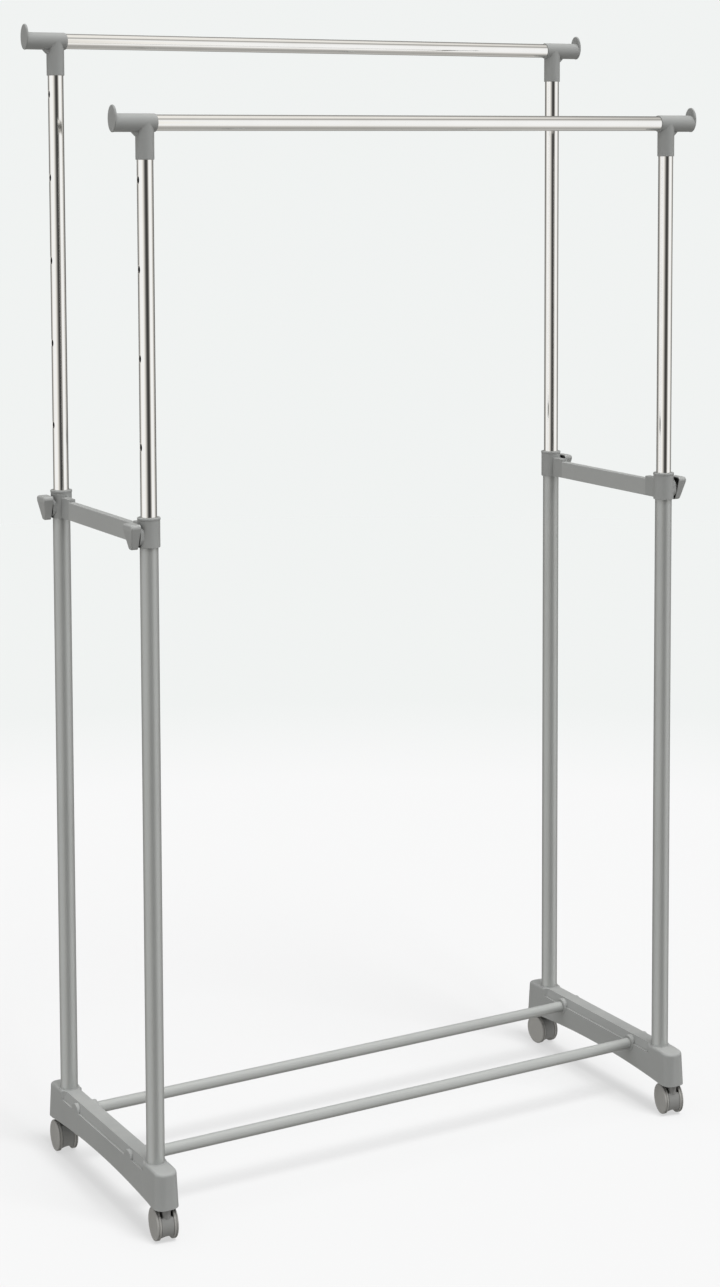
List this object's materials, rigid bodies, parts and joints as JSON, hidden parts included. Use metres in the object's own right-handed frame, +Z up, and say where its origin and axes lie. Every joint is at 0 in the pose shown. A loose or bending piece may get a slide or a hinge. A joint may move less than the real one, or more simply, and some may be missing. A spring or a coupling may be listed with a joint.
{
  "type": "garment rail",
  "caption": "Rolling garment rail with telescoping hanging tiers side by side, clamp collars, bracing bars, a shoe-rack base and twin-wheel casters.",
  "frame": {"origin": "on the floor, under the middle of the rail", "axes": "+Z up, +X along the hanging rails, -Y towards the tier that stands lower in front"},
  "size_m": [0.945, 0.3899, 1.6501],
  "materials": {
    "grey_plastic": "moulded, fine grain, satin",
    "painted_steel": "grey powder coat, satin",
    "chrome_steel": "bright chrome plate",
    "caster_plastic": "moulded, satin",
    "zinc_steel": "zinc plated",
    "insert_brass": "turned",
    "dark_nylon": "moulded nylon"
  },
  "bodies": {
    "frame": {"base_left": "grey_plastic", "base_right": "grey_plastic", "shoe_rail_front": "painted_steel", "shoe_rail_back": "painted_steel", "brace_left": "painted_steel", "brace_right": "painted_steel", "clamp_inserts": "insert_brass", "stem_sockets": "dark_nylon", "lower_post_fl": "painted_steel", "lower_post_fr": "painted_steel", "lower_post_bl": "painted_steel", "lower_post_br": "painted_steel", "collar_fl": "grey_plastic", "collar_fr": "grey_plastic", "collar_bl": "grey_plastic", "collar_br": "grey_plastic"},
    "front_tier": {"upper_tube_fl": "chrome_steel", "upper_tube_fr": "chrome_steel", "tee_fl": "grey_plastic", "tee_fr": "grey_plastic", "hanging_rail_front": "chrome_steel", "glide_bushes_front": "dark_nylon"},
    "back_tier": {"upper_tube_bl": "chrome_steel", "upper_tube_br": "chrome_steel", "tee_bl": "grey_plastic", "tee_br": "grey_plastic", "hanging_rail_back": "chrome_steel", "glide_bushes_back": "dark_nylon"},
    "washer_fl": {"clamp_washer_fl": "dark_nylon"},
    "clamp_fl": {"clamp_knob_fl": "grey_plastic", "clamp_bolt_fl": "zinc_steel"},
    "washer_fr": {"clamp_washer_fr": "dark_nylon"},
    "clamp_fr": {"clamp_knob_fr": "grey_plastic", "clamp_bolt_fr": "zinc_steel"},
    "washer_bl": {"clamp_washer_bl": "dark_nylon"},
    "clamp_bl": {"clamp_knob_bl": "grey_plastic", "clamp_bolt_bl": "zinc_steel"},
    "washer_br": {"clamp_washer_br": "dark_nylon"},
    "clamp_br": {"clamp_knob_br": "grey_plastic", "clamp_bolt_br": "zinc_steel"},
    "swivel_fl": {"caster_housing_fl": "caster_plastic", "caster_stem_fl": "zinc_steel", "caster_axle_fl": "zinc_steel"},
    "wheel_fl_a": {"caster_wheel_fl_a": "caster_plastic"},
    "wheel_fl_b": {"caster_wheel_fl_b": "caster_plastic"},
    "swivel_fr": {"caster_housing_fr": "caster_plastic", "caster_stem_fr": "zinc_steel", "caster_axle_fr": "zinc_steel"},
    "wheel_fr_a": {"caster_wheel_fr_a": "caster_plastic"},
    "wheel_fr_b": {"caster_wheel_fr_b": "caster_plastic"},
    "swivel_bl": {"caster_housing_bl": "caster_plastic", "caster_stem_bl": "zinc_steel", "caster_axle_bl": "zinc_steel"},
    "wheel_bl_a": {"caster_wheel_bl_a": "caster_plastic"},
    "wheel_bl_b": {"caster_wheel_bl_b": "caster_plastic"},
    "swivel_br": {"caster_housing_br": "caster_plastic", "caster_stem_br": "zinc_steel", "caster_axle_br": "zinc_steel"},
    "wheel_br_a": {"caster_wheel_br_a": "caster_plastic"},
    "wheel_br_b": {"caster_wheel_br_b": "caster_plastic"}
  },
  "joints": [
    {"name": "front_tier_slide", "type": "slide", "parent": "frame", "child": "front_tier", "axis": [0, 0, 1], "range_m": [-0.472, 0.118]},
    {"name": "back_tier_slide", "type": "slide", "parent": "frame", "child": "back_tier", "axis": [0, 0, 1], "range_m": [-0.59, 0]},
    {"name": "clamp_fl_travel", "type": "slide", "parent": "frame", "child": "washer_fl", "axis": [-1, 0, 0], "range_m": [0, 0.005]},
    {"name": "clamp_fl_turn", "type": "hinge", "parent": "washer_fl", "child": "clamp_fl", "pos_m": [-0.425, -0.1504, 0.9615], "axis": [-1, 0, 0], "range_deg": [0, 1800]},
    {"name": "clamp_fr_travel", "type": "slide", "parent": "frame", "child": "washer_fr", "axis": [1, 0, 0], "range_m": [0, 0.005]},
    {"name": "clamp_fr_turn", "type": "hinge", "parent": "washer_fr", "child": "clamp_fr", "pos_m": [0.425, -0.1504, 0.9615], "axis": [1, 0, 0], "range_deg": [0, 1800]},
    {"name": "clamp_bl_travel", "type": "slide", "parent": "frame", "child": "washer_bl", "axis": [-1, 0, 0], "range_m": [0, 0.005]},
    {"name": "clamp_bl_turn", "type": "hinge", "parent": "washer_bl", "child": "clamp_bl", "pos_m": [-0.425, 0.1504, 0.9615], "axis": [-1, 0, 0], "range_deg": [0, 1800]},
    {"name": "clamp_br_travel", "type": "slide", "parent": "frame", "child": "washer_br", "axis": [1, 0, 0], "range_m": [0, 0.005]},
    {"name": "clamp_br_turn", "type": "hinge", "parent": "washer_br", "child": "clamp_br", "pos_m": [0.425, 0.1504, 0.9615], "axis": [1, 0, 0], "range_deg": [0, 1800]},
    {"name": "swivel_fl_turn", "type": "hinge", "parent": "frame", "child": "swivel_fl", "pos_m": [-0.425, -0.183, 0.05], "axis": [0, 0, 1], "continuous": true},
    {"name": "wheel_fl_a_turn", "type": "hinge", "parent": "swivel_fl", "child": "wheel_fl_a", "pos_m": [-0.4233, -0.17011, 0.0225], "axis": [0.9914, -0.1305, 0], "continuous": true},
    {"name": "wheel_fl_b_turn", "type": "hinge", "parent": "swivel_fl", "child": "wheel_fl_b", "pos_m": [-0.4233, -0.17011, 0.0225], "axis": [0.9914, -0.1305, 0], "continuous": true},
    {"name": "swivel_fr_turn", "type": "hinge", "parent": "frame", "child": "swivel_fr", "pos_m": [0.425, -0.183, 0.05], "axis": [0, 0, 1], "continuous": true},
    {"name": "wheel_fr_a_turn", "type": "hinge", "parent": "swivel_fr", "child": "wheel_fr_a", "pos_m": [0.42792, -0.17033, 0.0225], "axis": [0.9744, -0.225, 0], "continuous": true},
    {"name": "wheel_fr_b_turn", "type": "hinge", "parent": "swivel_fr", "child": "wheel_fr_b", "pos_m": [0.42792, -0.17033, 0.0225], "axis": [0.9744, -0.225, 0], "continuous": true},
    {"name": "swivel_bl_turn", "type": "hinge", "parent": "frame", "child": "swivel_bl", "pos_m": [-0.425, 0.183, 0.05], "axis": [0, 0, 1], "continuous": true},
    {"name": "wheel_bl_a_turn", "type": "hinge", "parent": "swivel_bl", "child": "wheel_bl_a", "pos_m": [-0.42613, 0.17005, 0.0225], "axis": [-0.9962, 0.0872, 0], "continuous": true},
    {"name": "wheel_bl_b_turn", "type": "hinge", "parent": "swivel_bl", "child": "wheel_bl_b", "pos_m": [-0.42613, 0.17005, 0.0225], "axis": [-0.9962, 0.0872, 0], "continuous": true},
    {"name": "swivel_br_turn", "type": "hinge", "parent": "frame", "child": "swivel_br", "pos_m": [0.425, 0.183, 0.05], "axis": [0, 0, 1], "continuous": true},
    {"name": "wheel_br_a_turn", "type": "hinge", "parent": "swivel_br", "child": "wheel_br_a", "pos_m": [0.42541, 0.17001, 0.0225], "axis": [-0.9995, -0.0314, 0], "continuous": true},
    {"name": "wheel_br_b_turn", "type": "hinge", "parent": "swivel_br", "child": "wheel_br_b", "pos_m": [0.42541, 0.17001, 0.0225], "axis": [-0.9995, -0.0314, 0], "continuous": true}
  ],
  "couplings": [
    {"joint": "clamp_fl_travel", "follows": "clamp_fl_turn", "m_per_rad": 0.00015915},
    {"joint": "clamp_fr_travel", "follows": "clamp_fr_turn", "m_per_rad": 0.00015915},
    {"joint": "clamp_bl_travel", "follows": "clamp_bl_turn", "m_per_rad": 0.00015915},
    {"joint": "clamp_br_travel", "follows": "clamp_br_turn", "m_per_rad": 0.00015915}
  ]
}
